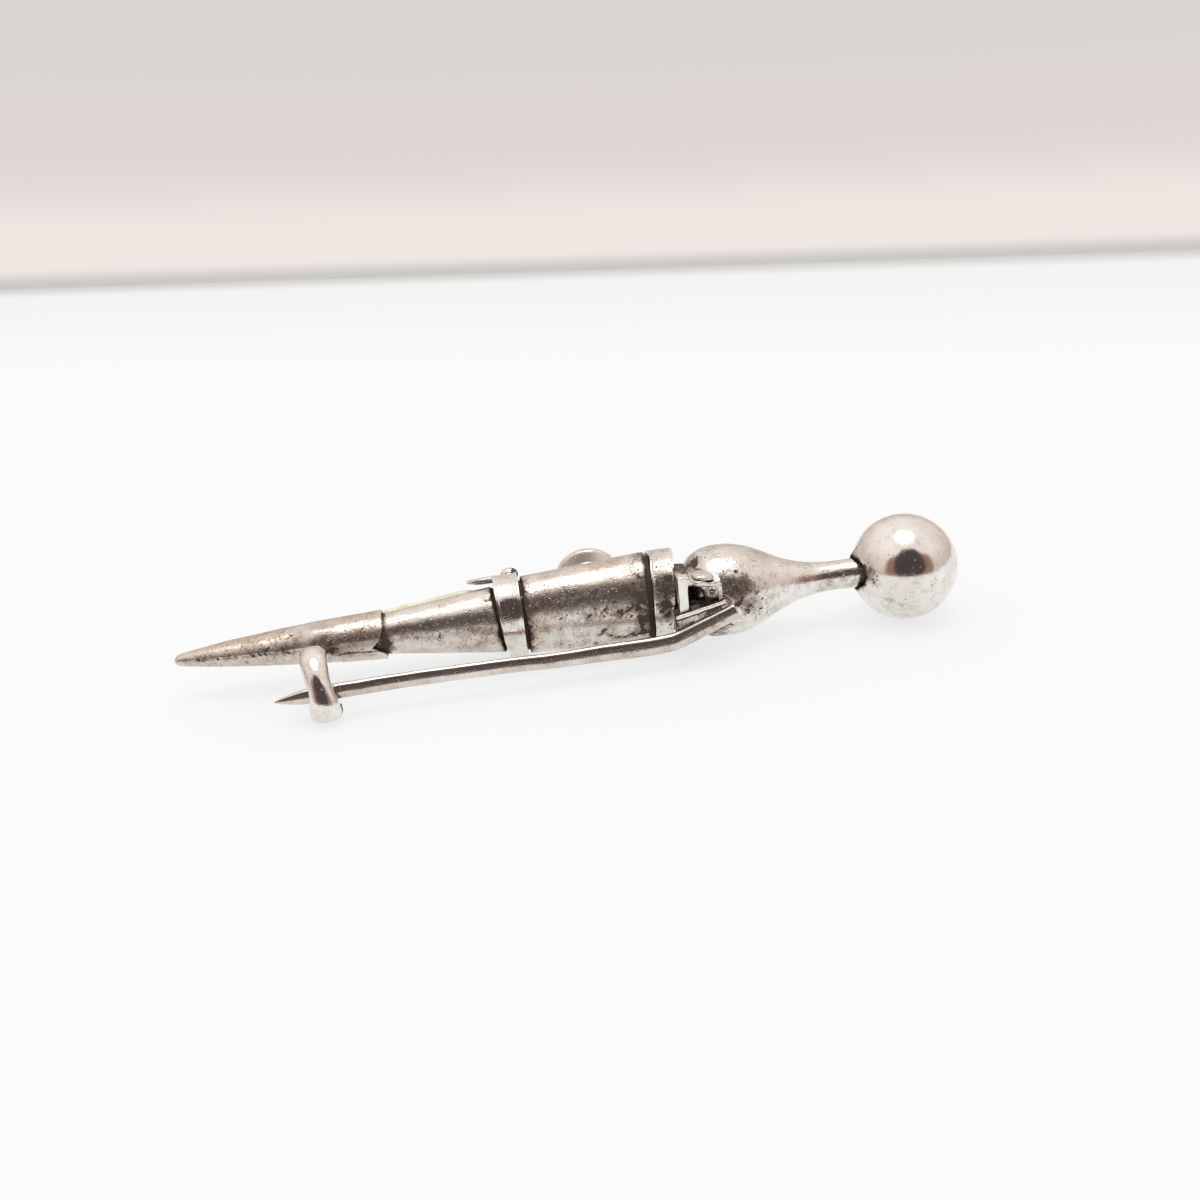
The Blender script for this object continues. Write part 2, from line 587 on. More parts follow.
def scabbard_surface(start, end, wear, seed, cut=None):
    """Tapered tube between two lines, each given as (distance by height, radius). The shoulder at each
    end is uneven. cut is the distance of a flat seat in front of the axis. Gives the rings, the distances
    of both shoulders and the angles."""
    turn = circle(300)
    (start_line, start_r), (end_line, end_r) = start, end
    left = start_line(start_r * np.sin(turn)) + .05 * waves(unit(turn), .55, seed)
    right = end_line(end_r * np.sin(turn)) + .05 * waves(unit(turn), .5, seed + 1)
    shoulder = np.array([.1, .035, .008])
    t = np.concatenate([[0, .004, .012], np.linspace(.03, .97, 110), [.988, .996, 1]])[:, None]
    drop = np.concatenate([shoulder, np.zeros(110), shoulder[::-1]])[:, None]
    x = left * (1 - t) + right * t
    grown = (x - left.mean()) / (right.mean() - left.mean())
    r = start_r + (end_r - start_r) * grown - drop
    plain = around(x, r, turn)
    r = r + wear.dents * (.012 * waves(plain, 3.2, seed + 2) + .004 * waves(plain, 1.1, seed + 3))
    if cut is not None:
        # Smaller of the radius and the way out to the flat seat, with a soft corner
        ahead, hard = -np.cos(turn + FRONT_ROLL), 28
        reach = np.where(ahead > .05, cut / np.maximum(ahead, .05), 50)
        limit = -np.log(np.exp(-hard * np.minimum(reach, 6)) + np.exp(-hard * r)) / hard
        r = r + (limit - r) * ease(right.mean() - .15, right.mean() - .45, x)
    return oval(x, r, turn, flatness(x)), left, right, turn


def belt(points):
    """Height band across the back where the film is thickest: 1 there, 0 above and below."""
    turn = angles(points)
    return ease(-22, 2, turn) * ease(36, 22, turn)


def lower_scabbard_surface(wear):
    """Half-round back of the lower scabbard, flat in front, with a narrower neck in the recess up to the
    middle band."""
    s = Surface()
    neck_r = 2.1
    start = (lambda z: np.full_like(z, SCABBARD_START), 1.25)
    end = (lambda z: value(BAND_LEFT, z) - .25, 2.6)
    skin, _, right, turn = scabbard_surface(start, end, wear, 21, cut=.85)
    neck = [around(right + .01, neck_r, turn)]
    neck += [around(value(BAND_LEFT, neck_r * np.sin(turn)) - gap, neck_r, turn) for gap in (.2, .02)]
    x, far = skin[..., 0], right - skin[..., 0]
    mark = .1 + .22 * belt(skin) + .9 * ease(.2, 0, far) + .35 * ease(.9, .1, far) + spots(skin, [
        (16.2, 10, .4, .25), (16.2, -25, .4, .3), (18.5, 66, .3, .15), (23.3, 37, .32, .6),
        (23.05, 30, .2, .4), (22.9, 8, .6, .2), (22.5, -25, .6, .3), (21.6, -30, .5, .2),
        (22.4, 50, .6, .12), (20.0, 20, 1.0, .1), (19, -12, .6, .14), (23.5, 60, .4, .3),
        (17.5, 24, .6, .16), (21.3, 26, .8, .14)])
    # Black at the chape's mouth, most of all in its notch
    mark += .85 * ease(16.15, 15.75, x) + .5 * bell(x, 15.9, .45) * bell(skin[..., 2], -.5, .7)
    s.add(*joined((skin, mark), (neck, SEAM)))
    return s


def upper_scabbard_surface(wear):
    """Tapering tube between the two bands, with a narrower neck in the recess at each of them."""
    s = Surface()
    first_r, last_r = 2.7, 3.3
    start = (lambda z: value(BAND_RIGHT, z) + .25, 3.0)
    end = (lambda z: value(THROAT_LEFT, z) - .36, 3.66)
    skin, left, right, turn = scabbard_surface(start, end, wear, 31)
    band_x = value(BAND_RIGHT, first_r * np.sin(turn))
    throat_x = value(THROAT_LEFT, last_r * np.sin(turn))
    first = [oval(band_x + gap, first_r, turn, .86) for gap in (.02, .2)]
    first += [oval(left - .01, first_r, turn, .84)]
    last = [oval(right + .01, last_r, turn, .8)]
    last += [oval(throat_x - gap, last_r, turn, .8) for gap in (.2, .02)]
    near, far, turned = skin[..., 0] - left, right - skin[..., 0], angles(skin)
    mark = .12 + .2 * belt(skin) + .2 * ease(30, 40, turned) * ease(58, 46, turned)
    mark += .75 * ease(.16, 0, near) + .42 * ease(.8, .1, near)
    mark += .7 * ease(.2, 0, far) + .42 * ease(1.5, .1, far)
    # A row of black specks under the bright line, a loop of them low on the right, and broad brown clouds
    mark += 1.3 * spots(skin, [
        (26.95, 30, .2, .75), (27.25, 29, .14, .65), (27.6, 31, .12, .6), (28.3, 33, .14, .65),
        (28.8, 32, .14, .6), (29.3, 31, .12, .55), (29.9, 31, .12, .5),
        (31.9, -18, .25, .6), (32.3, -28, .25, .6), (32.9, -34, .3, .6), (33.5, -34, .3, .6),
        (34.1, -30, .35, .6), (34.8, -27, .4, .6), (33.6, -22, .3, .25), (34.9, -8, .5, .3),
        (34.2, 36, .4, .45), (33.7, 40, .3, .35), (34.8, 27, .5, .35), (34.4, 15, .4, .35),
        (33.9, 11, .3, .35), (33.2, 5, .3, .3), (34.9, 5, .4, .3), (34.3, 62, .8, .2),
        (27.0, 43, .5, .2), (26.8, -15, .4, .3), (27.2, -35, .4, .25), (28.6, -43, .8, .15),
        (30.4, -20, 1.0, .1), (29, 5, .8, .1), (31.3, 16, .8, .1), (32.6, 22, 1.0, .14),
        (33.5, 24, .9, .16), (30.2, -42, .8, .16), (31.6, -46, .8, .2), (29.2, 44, 1.2, .1)])
    s.add(*joined((first, SEAM), (skin, mark), (last, SEAM)))
    return s


def stone_surface():
    """Crowned slab: a rounded half-oval section that grows along the axis, on its flat seat."""
    s = Surface()
    start, length, seat = 15.7, 7.7, .95
    ends = np.array([.8, .92, .98])
    x = np.concatenate([[start, 15.73, 15.8], np.linspace(16, 23.1, 70), [23.25, 23.33, 23.36]])
    t = (x - start) / length
    shrink = np.concatenate([ends, np.ones(70), ends[::-1]])
    half = (1.24 + t) * shrink * (1 - .14 * ease(21.9, 22.8, x))
    rise = 1.5 * (.7 + .3 * t) * shrink
    f = circle(120)
    across = power(np.cos(f), .72)
    up = np.where(np.sin(f) > 0, np.abs(np.sin(f))**.75, -.07 * np.abs(np.sin(f))**.5)
    side = half[:, None] * across
    rings = rolled(np.stack([x[:, None] + 0 * side, seat + rise[:, None] * up, side], -1))
    s.add(rings + .006 * waves(rings, 1.4, 41)[..., None])
    return s


def boss_surface():
    """Low turned boss square to the scabbard's front: a stem that flares as a cone under the rim, and a
    dome that is part of a sphere."""
    rim_r, crown, rim_h = 2.5, .75, 1.83
    rows = [[.04, .3], [.02, 1.74], [.4, 1.76], [.75, 1.88], [1.3, 2.43], [1.42, 2.53], [1.7, 2.55],
            [1.84, rim_r]]
    dome_r = (rim_r**2 + crown**2) / (2 * crown)
    rows += [[rim_h + crown - dome_r + math.sqrt(dome_r**2 - r**2), r]
             for r in np.linspace(2.46, .08, 34)]

    def place(a, b, h):
        """Along the axis, up the front and out of it, from the stem's foot inside the scabbard."""
        return rolled(np.stack([31.6 + a, 2.6 + h, b], -1))

    return turned_surface(rows, place, 96, .04, .15)


# Bands

def band_surface(left, right, r, wear, seed, flat, places, base=.1, top=0.0):
    """Band between two lines given by height above the axis: a flat rim along each edge and a slightly
    hollow middle, uneven as rolled by hand. top raises the upper side by that share of the radius."""
    s = Surface()
    turn = circle(300)
    # Half of the section: place across the band from an edge, and depth under the rim
    edge = np.array([0, 0, 0, 0, .012, .03, .055, .08, .105, .13, .17])
    fall = np.array([r - .4, .5, .16, .05, .014, .002, 0, .008, .022, .034, .04])
    hollow = .045 - .02 * np.cos(np.linspace(-1.2, 1.2, 11))
    u = np.concatenate([edge, np.linspace(.24, .76, 11), 1 - edge[::-1]])[:, None]
    depth = np.concatenate([fall, hollow, fall[::-1]])[:, None]
    reach = r - depth
    a = value(left, reach * np.sin(turn)) + .02 * waves(unit(turn), .5, seed)
    b = value(right, reach * np.sin(turn)) + .02 * waves(unit(turn), .6, seed + 1)
    x = a * (1 - u) + b * u
    bumps = .01 * waves(around(x, reach, turn), 2.2, seed + 2) - .004
    reach = reach + wear.dents * np.minimum(reach / r, 1) * bumps
    rings = oval(x, reach * (1 + top * ease(.2, .9, np.sin(turn))), turn, flat)
    # Black on the faces towards the recesses, a little brown in the hollow
    on_face, in_hollow = (u < .001) | (u > .999), (u > .1) & (u < .9)
    mark = base + 1.3 * np.where(on_face, ease(.06, .3, depth), 0) + .12 * in_hollow
    s.add(rings, mark + spots(rings, places))
    return s


def ellipsoid(centre, radii, count):
    """Rings of an ellipsoid; radii are along, out from the axis and across."""
    a = np.linspace(.04, math.pi - .04, count)[:, None]
    b = circle(count * 2)
    return np.stack([centre[0] + radii[0] * np.cos(a) + 0 * b,
                     centre[1] + radii[1] * np.sin(a) * np.cos(b),
                     centre[2] + radii[2] * np.sin(a) * np.sin(b)], -1)


def middle_band_surface(wear):
    """Band with three leaf lobes and three beads round its front."""
    s = band_surface(BAND_LEFT, BAND_RIGHT, MIDDLE_R, wear, 51, .9,
                     [(25.1, 36, .4, .12), (24.6, -20, .3, .2), (25.9, 10, .3, .15)], top=.05)
    # Leaf: a pointed lobe, thickest along its middle, wrapped on the scabbard over the stone's end
    root_x, long, wide = 24.36, 2.15, .98
    u, v = np.linspace(0, 1, 34)[:, None], circle(48)
    half = wide * np.sqrt(np.clip(1 - (1 - np.minimum(u / .62, 1))**2, 0, 1)) * (1 - .1 * u) + .02
    across = half * power(np.cos(v), .9)
    rise = .15 * np.sin(v) * (.5 + .5 * np.sqrt(np.clip(half / wide, 0, 1)))
    r = MIDDLE_R + rise - .05 * across**2 - .1 * (1 - u)
    bent = across / 3.15
    x = root_x - long * (1 - u) + .35 * u + 0 * r
    leaf = np.stack([x, r * np.cos(bent), r * np.sin(bent)], -1)
    for k in (-1, 0, 1):
        s.add(rolled(leaf, math.radians(46 * k)), .7 * ease(-.4, -.85, np.sin(v)))
    bead = ellipsoid((25.5, 3.3, 0), (.68, .55, .6), 26)
    dirt = .2 + .6 * ease(3.5, 3.25, bead[..., 1]) + .7 * ease(25.6, 25.85, bead[..., 0])
    for k in (1, 0, -1):
        s.add(rolled(bead, math.radians(45 * k)), dirt)
    return s


def throat_band_surface(wear):
    """Band at the scabbard's throat, blotched with black on its back."""
    return band_surface(THROAT_LEFT, THROAT_RIGHT, THROAT_R, wear, 55, .82, [
        (36.7, 30, .5, .6), (36.6, 16, .55, .7), (36.65, 4, .5, .55), (36.8, -5, .4, .4),
        (36.85, 44, .45, .5), (37.2, 46, .35, .35), (37.25, 28, .3, .35), (36.3, 46, .35, .22),
        (36.4, 62, .35, .16), (36.95, -18, .35, .3), (37.1, 10, .3, .35), (36.2, -12, .35, .22),
        (36.3, 8, .3, .25), (36.2, -28, .35, .25)], base=.12)


# Handle and ball

def handle_surface(wear):
    """Baluster handle turned to its table: a bulb with the knuckle's relief, and a slim neck."""
    s = Surface()
    turn = circle(320)
    degrees = np.degrees(turn)
    first = value(THROAT_RIGHT, 2.7 * np.sin(turn)) + .02
    x = first + (NECK_END - .05 - first) * np.linspace(0, 1, 300)[:, None]
    # Relief under the hinge, where the root of the pin turns: a square-shouldered hollow
    dent = np.exp(-((x - 40.15)**2 + (np.radians(degrees - 1) * 3.4 / .75)**2)**2)
    r = value(HANDLE, x) - .75 * dent
    plain = around(x, r, turn)
    bumps = .016 * waves(plain, 3.4, 61) + .005 * waves(plain, .9, 62)
    skin = around(x, r + wear.dents * np.minimum(r / 2, 1) * bumps, turn)
    mark = .1 + 1.1 * ease(38.9, 38.2, x) + dent + .2 * ease(52.3, 52.7, x)
    s.add(skin, mark + spots(skin, [
        (39.0, 80, .8, .5), (39.6, 74, .6, .4), (40.6, 70, .5, .2), (38.9, 56, .7, .6),
        (41.5, 38, 1.0, .3), (42.0, 16, 1.2, .36), (42.4, 26, .8, .3), (42.3, 2, 1.0, .28),
        (42.8, 30, .5, .2), (42.9, -8, .9, .2), (43.6, 12, 1.0, .2), (40.7, -27, .8, .6),
        (40.1, -52, .8, .6), (41.6, -24, .5, .3), (41.3, -50, .8, .35), (43.8, -14, 1.2, .14),
        (45.6, -16, 1.4, .12), (47.3, 36, .8, .14), (49.2, 30, 1.6, .16), (51.6, 22, 1.0, .2),
        (52.5, -40, .7, .2), (40.3, 100, .9, .2)]))
    return s


def ball_surface(wear):
    """Ball with the hole for the neck: the hole's edge is uneven and wider on the back, and a funnel
    leads from it down to the floor of the hole."""
    s = Surface()
    turn = circle(260)
    degrees = np.degrees(turn)
    hole = 1.33 + .75 * bell(degrees, 14, 42) + .035 * waves(unit(turn), .35, 71)
    end = math.pi - np.arcsin(hole / BALL_R)
    a = end * np.concatenate([np.linspace(.012, .93, 130), np.linspace(.935, 1, 22)])[:, None]

    def shell(r):
        """Sphere of radius r round the ball's middle, from the pole to the hole's edge."""
        return around(BALL_X + r * np.cos(a), r * np.sin(a), turn)

    # A burr stands round the hole, highest at its upper left
    from_edge = (end - a) * BALL_R
    r = BALL_R + (.02 + .13 * bell(degrees, 105, 42)) * bell(from_edge, 0, .3)
    skin = shell(r + wear.dents * .006 * waves(shell(r), 2.4, 72) * ease(0, .6, a) - .006)
    edge_x, edge_r = skin[-1, :, 0], np.hypot(skin[-1, :, 1], skin[-1, :, 2])
    hole_floor_r = 1.19
    funnel = [around(edge_x * (1 - k) + NECK_END * k, edge_r * (1 - k**.7) + hole_floor_r * k**.7, turn)
              for k in (.06, .2, .45, .8, 1)]
    mark = .06 + .6 * bell(from_edge, 0, .14) + .22 * bell(from_edge, 0, .8) + spots(skin, [
        (52.35, 25, .45, .4), (52.5, 8, .4, .35), (52.7, -2, .3, .3), (53.2, -21, .3, .25),
        (53.8, -22, .25, .25), (55.7, -6, .3, .2), (57.8, 1, .3, .2), (52.3, 95, .6, .3),
        (54.6, -30, 1.0, .14), (57.2, -20, 1.3, .12), (56.3, 10, 1.0, .1)])
    s.add(*joined((skin, mark), (funnel, 1.3)))
    return s


# Hinge and pin

def hinge_place(a, b, h):
    """From the hinge's frame (along, back to front, up the rivet) to the brooch's."""
    x, z = spun(a, h, HINGE_LEAN)
    return np.stack([HINGE_AT[0] + x, HINGE_AT[1] + b, HINGE_AT[2] + z], -1)


def upright(y0, y1):
    """Place for plates that lie in planes of the axis and the height, thick from y0 towards y1."""
    def place(a, b, h):
        """Along the axis, up, and the share h of the way from y0 to y1."""
        return np.stack([a, y0 + (y1 - y0) * h, b], -1)
    return place


def lug_z(x):
    """Height of the sloping upper lug's top."""
    return LUG_HEIGHT - (x - LUG_START) * math.tan(LUG_SLOPE)


def bracket_surface():
    """Hinge box of thick sheet: sloping upper lug, two cheeks, a web and the lower lug."""
    s = Surface()

    def lug(a, b, h):
        """Along the axis, from back to front, and up from the slope of the lug's top."""
        return np.stack([a, b, lug_z(a) + h], -1)

    def over_lug(points):
        """Height above that slope."""
        return points[..., 2] - lug_z(points[..., 0])

    top = plate([[LUG_START, SHEET_FRONT], [LUG_START, SHEET_BACK], [LUG_END, SHEET_BACK],
                 [LUG_END, SHEET_FRONT]], -.43, 0, .09, lug, .5, 220, .02, 81)
    # The back edge is beaten uneven
    beaten = ease(-3.0, -4.2, top[..., 1]) * ease(-.3, 0, over_lug(top))
    top[..., 2] += .07 * waves(top[..., :2], 1.3, 82) * beaten
    s.add(top, .12 + .8 * ease(-.2, -.42, over_lug(top)) + .8 * ease(-2.9, -2.2, top[..., 1])
          + .16 * waves(top, .8, 83))
    left = plate([[LUG_START, .18], [38.22, .33], [38.25, 2.3], [38.5, 2.9], [38.4, 3.1],
                  [LUG_START, 3.2], [37.46, 2.4]],
                 0, 1, .08, upright(SHEET_FRONT, SHEET_BACK), .16, 150, .015, 84)
    s.add(left, .1 + .9 * ease(-3.9, -3.4, left[..., 1]) + .6 * ease(.7, .2, left[..., 2])
          + .3 * ease(38.1, 38.35, left[..., 0]))
    right = plate([[40.4, .8], [LUG_END, .88], [40.78, 2.3], [40.4, 2.35]], 0, 1, .07,
                  upright(SHEET_FRONT, SHEET_BACK + .01), .12, 120, .015, 85)
    s.add(right, .25 + .8 * ease(-3.9, -3.4, right[..., 1]) + .35 * ease(1.6, 1.0, right[..., 2]))
    web = plate([[39.0, 2.45], [39.9, 1.2], [40.6, 1.15], [40.65, 2.3]], 0, 1, .05,
                upright(-3.98, -4.26), .14, 100, .03, 86)
    s.add(web, .62 + .25 * waves(web, .5, 87) + .25 * ease(1.7, 1.2, web[..., 2]))
    low = plate([[-2.85, -1.25], [1.0, -1.25], [1.0, 2.2], [-2.85, 2.2]], 0, .28, .07, hinge_place, .14,
                200, .012, 88)
    s.add(low, .12 + .75 * ease(-4.62, -4.5, low[..., 1]))
    return s


def rivet_surface():
    """Rivet through both lugs: a shaft with a foot under the knuckle, and a flattened head with a worn
    groove. Both are turned outlines."""
    s = Surface()
    top = (lug_z(HEAD_X) - HINGE_AT[2]) / math.cos(HINGE_LEAN)
    shaft = [[-.96, .1], [-1.0, .46], [-.94, .5], [-.7, .69], [-.68, .36], [top + .05, .37],
             [top + .08, .1]]
    turned_surface(shaft, hinge_place, 48, .05, .9, s)

    def head_place(a, b, h):
        """On the lug's slope: oval in plan, with a shallow groove beside the rim."""
        a, b = a * 1.02, b * .98
        h = h - .05 * bell(np.hypot(a, b), .56, .07) * (h > .2)
        x, z = spun(a, h, -LUG_SLOPE)
        return np.stack([HEAD_X + x, HINGE_AT[1] + b, lug_z(HEAD_X) + .02 + z], -1)

    head = [[0, .3], [0, .78], [.04, .82], [.16, .82], [.24, .74], [.27, .6], [.29, .4], [.3, .05]]
    turned_surface(head, head_place, 80, .03, .22, s)
    return s


def knuckle_surface():
    """Flat root of the pin: hub on the rivet, an arm out from it and the blade that meets the wire."""
    s = Surface()
    low, high = -.66, -.04
    hub = [[low, .44], [low, .74], [-.62, .78], [-.08, .78], [high, .74], [high, .44]]
    turned_surface(hub, hinge_place, 64, .04, .8, s)
    arm = plate([[-.6, -1.28], [.6, -1.28], [.6, -.1], [-.6, -.1]], low, high, .06, hinge_place, .1, 90,
                .01, 91)
    s.add(arm, .8)
    blade = plate([[37.1, -.1], [41.05, .79], [41.35, .5], [41.35, .3], [37.4, -1.75], [37.1, -1.7]],
                  0, 1, .06, upright(-4.1, -4.72), .12, 200, .01, 92)
    s.add(blade, .45 + .3 * waves(blade, .9, 93))
    return s


def stem_surface(wear):
    """Spring wire: an ellipse slides along the path of its table. The section is hammered a little flat
    from back to front, and one side is worn to a flat that looks back and a little up. The point is
    filed, and the tail is cut off rough."""
    s = Surface()
    tip = 7.8 + .4 * np.linspace(0, 1, 10)**1.6
    x = np.concatenate([tip, np.linspace(8.25, 10.9, 40), np.linspace(11, 36, 180),
                        np.linspace(36.1, 41.6, 60)])
    path = np.stack([x, -value(WIRE, x, 1), value(WIRE, x, 2)], -1)
    r = value(WIRE, x, 3)
    way = np.gradient(path, axis=0)
    way /= np.linalg.norm(way, axis=1)[:, None]
    side = np.cross(way, [0, 0, 1])
    side /= np.linalg.norm(side, axis=1)[:, None]
    up = np.cross(side, way)
    a = circle(56)
    degrees = np.degrees(a)
    flat = .7 - .02 * waves(path[:, :1], 5.0, 95)
    worn = 1 - .125 * bell(degrees, 24, 29)
    wide = (r * flat)[:, None, None] * ((worn * np.cos(a))[:, None] * side[:, None])
    tall = r[:, None, None] * ((worn * np.sin(a))[:, None] * up[:, None])
    rings = path[:, None] + wide + tall
    rings += (wear.dents * .006 * waves(rings, 1.8, 96) * (x > 11)[:, None])[..., None] * up[:, None]
    # Last rings of the cut tail: their size and way past the end
    cut = [path[-1] + (rings[-1] - path[-1]) * size + way[-1] * past
           for size, past in ((.96, .04), (.86, .065), (.5, .07))]
    brown = .3 * bell(degrees, 16, 17) * ease(10, 12, x)[:, None]
    mark = .02 + brown + spots_at(rings, [
        (11.9, -6.45, -.8, .5, .6), (12.4, -6.45, -1.6, .5, .35), (40.0, -5.3, -.5, .5, .35),
        (40.6, -5.35, -.35, .28, .55), (38.5, -5.2, -1.5, .6, .3), (33.5, -5.4, -1.9, .7, .2),
        (22, -6.1, -1.7, .8, .15), (14.2, -6.5, -1.9, .4, .35)])
    s.add(*joined((rings, mark), (cut, .5)))
    return s


# Stage

def camera_frame(stage):
    """Camera's axes and place in metres: it looks across the back at the photograph's angles and roll."""
    yaw, rise, roll = stage.yaw, stage.elevation, stage.roll
    ahead = np.array([math.sin(yaw) * math.cos(rise), math.cos(yaw) * math.cos(rise), -math.sin(rise)])
    right = np.cross(ahead, [0, 0, 1.0])
    right /= np.linalg.norm(right)
    up = np.cross(right, ahead)
    right, up = spun(right, up, -roll)
    # This point of the axis appears a little right of the picture's middle and above it
    target = np.array([36 - BALL_X + BALL_AT[0], BALL_AT[1], 4.36]) / MM
    shift_right, shift_up = .0363, .00583
    place = target - stage.distance * (ahead + right * shift_right + up * shift_up)
    return right, up, ahead, place


def build_camera(stage):
    """Camera with the photograph's lens and place."""
    right, up, ahead, place = camera_frame(stage)
    data = bpy.data.cameras.new("camera")
    data.sensor_width = 36
    data.lens = stage.lens
    data.clip_start, data.clip_end = .002, 20
    camera = bpy.data.objects.new("camera", data)
    turn = np.stack([right, up, -ahead], 1)
    camera.matrix_world = Matrix.Translation(Vector(place)) @ Matrix(turn.tolist()).to_4x4()
    bpy.context.scene.collection.objects.link(camera)
    bpy.context.scene.camera = camera


def floor_edge():
    """Far edge of the board: a point on it, its direction and the direction away from the brooch."""
    lean = math.radians(-22.03)
    along = np.array([math.cos(lean), math.sin(lean), 0])
    return np.array([.0237, .1868, 0]), along, np.array([-along[1], along[0], 0])


def build_floor(stage):
    """White board: a plane with a soft light of its own, which keeps the shadows on it faint."""
    mesh = bpy.data.meshes.new("floor")
    place, along, away = floor_edge()
    size = 2.5
    corners = [place - size * (along + away), place + size * (along - away), place + size * along,
               place - size * along]
    mesh.from_pydata([tuple(c) for c in corners], [], [(0, 1, 2, 3)])
    material, n = new_material("white_board")
    # The board falls off softly into grey along its far edge
    far = n.along(n.add("ShaderNodeTexCoord").outputs["Object"], away)
    edge = float(place @ away)
    shade = n.mix(n.step(far, edge - .1, edge), colour(stage.floor), colour(stage.floor, (.93, .93, .93)))
    shade = n.mix(n.step(far, edge - .013, edge), shade, colour((.66, .65, .625)))
    # Out of view behind the camera it runs out into shade
    shade = n.mix(n.step(far, -.16, -.056), colour((.42, .31, .25)), shade)
    white = n.add("ShaderNodeBsdfDiffuse", {"Color": shade})
    glow = n.add("ShaderNodeEmission", {"Color": shade, "Strength": stage.glow})
    both = n.add("ShaderNodeMixShader", {0: stage.floor_glow, 1: white.outputs[0], 2: glow.outputs[0]})
    n.add("ShaderNodeOutputMaterial", {"Surface": both.outputs[0]})
    mesh.materials.append(material)
    floor = bpy.data.objects.new("floor", mesh)
    bpy.context.scene.collection.objects.link(floor)


def build_world(stage):
    """Room round the board. What the camera sees behind it is a soft blend by height; the metal reflects
    plain walls, a pale ceiling and a dark shape in front of the board."""
    world = bpy.data.worlds.new("room")
    bpy.context.scene.world = world
    world.use_nodes = True
    n = Nodes(world.node_tree)
    rad = math.radians
    way = n.add("ShaderNodeTexCoord").outputs["Generated"]
    x, y, z = n.add("ShaderNodeSeparateXYZ", {0: way}).outputs
    # Angle over the board's far edge as the camera sees it
    place, along, _ = floor_edge()
    normal = np.cross(along, place - camera_frame(stage)[3])
    normal /= np.linalg.norm(normal)
    over = n.math("ARCSINE", n.along(way, normal))
    seen = colour((.60, .58, .555))
    for low, high, shade in ((.1, .75, (.865, .795, .76)), (1.7, 4.6, (.745, .675, .66)),
                             (4.6, 9.0, (.70, .665, .635))):
        seen = n.mix(n.step(over, rad(low), rad(high)), seen, colour(shade))
    walls = n.mix(n.step(z, 0.0, .85), colour((.69, .60, .55)), colour((1.0, .945, .905)))
    side = n.math("ARCTAN2", x, n.math("MULTIPLY", y, -1.0))
    up = n.math("ARCSINE", z)

    def blob(middle, height, wide, tall, soft):
        """1 inside a rounded box, 0 outside: its middle, height and half sizes in degrees, and how soft
        its edge is."""
        a = n.math("ABSOLUTE", n.math("MULTIPLY_ADD", side, 1 / rad(wide), -middle / wide))
        b = n.math("ABSOLUTE", n.math("MULTIPLY_ADD", up, 1 / rad(tall), -height / tall))
        both = n.math("ADD", n.math("POWER", a, 3.0), n.math("POWER", b, 3.0))
        return n.step(both, 1 + soft, 1 - soft)

    room = n.mix(blob(-4, 17, 54, 27, .3), walls, colour(stage.shade_edge))
    room = n.mix(blob(-4, 26, 35, 31, .35), room, colour(stage.shade))
    # The board's soft shadows come from an evenly bright room
    path = n.add("ShaderNodeLightPath")
    room = n.mix(path.outputs["Is Diffuse Ray"], room, colour((1.45, 1.45, 1.45)))
    mixed = n.mix(path.outputs["Is Camera Ray"], room, seen)
    sky = n.add("ShaderNodeBackground", {"Color": mixed, "Strength": 1.0})
    n.add("ShaderNodeOutputWorld", {"Surface": sky.outputs[0]})


def build_key(stage):
    """Broad lamp overhead, leaning a little towards the camera."""
    data = bpy.data.lights.new("key", "SUN")
    data.angle = math.radians(33)
    data.energy = stage.key
    data.color = (1.0, .985, .965)
    key = bpy.data.objects.new("key", data)
    key.rotation_euler = (math.radians(3), 0, 0)
    bpy.context.scene.collection.objects.link(key)


# Add-on

class KiltPinLooks(bpy.types.PropertyGroup):
    """Colours and strengths of the finishes"""
    silver: bpy.props.FloatVectorProperty(
        name="Silver", description="Reflection of the bare metal", subtype="COLOR", min=0, max=1,
        default=(.90, .865, .83))
    haze: bpy.props.FloatVectorProperty(
        name="Haze", description="Reflection where a thin mauve-brown film covers the metal",
        subtype="COLOR", min=0, max=1, default=(.48, .365, .28))
    brown: bpy.props.FloatVectorProperty(
        name="Brown", description="Reflection where a brown film covers the metal", subtype="COLOR",
        min=0, max=1, default=(.215, .14, .10))
    dark: bpy.props.FloatVectorProperty(
        name="Tarnish", description="Colour of thick tarnish in pits and recesses", subtype="COLOR",
        min=0, max=1, default=(.055, .037, .029))
    stone: bpy.props.FloatVectorProperty(
        name="Stone", description="Colour of the pale stone", subtype="COLOR", min=0, max=1,
        default=(.60, .58, .46))
    roughness: bpy.props.FloatProperty(
        name="Roughness", description="Roughness of the bare metal", subtype="FACTOR", min=0, max=1,
        default=.19)
    tarnish: bpy.props.FloatProperty(
        name="Tarnish amount", description="Strength of the tarnish marks", min=0, max=2, default=1.0)
    relief: bpy.props.FloatProperty(
        name="Relief", description="Height of the grain and scratches", unit="LENGTH", precision=6,
        min=0, max=.001, default=.000028)


class KiltPinWear(bpy.types.PropertyGroup):
    """Wear of the shapes"""
    dents: bpy.props.FloatProperty(
        name="Dents", description="Unevenness of the hand-raised sheet, 1 as on the old piece", min=0,
        max=3, default=1.0)


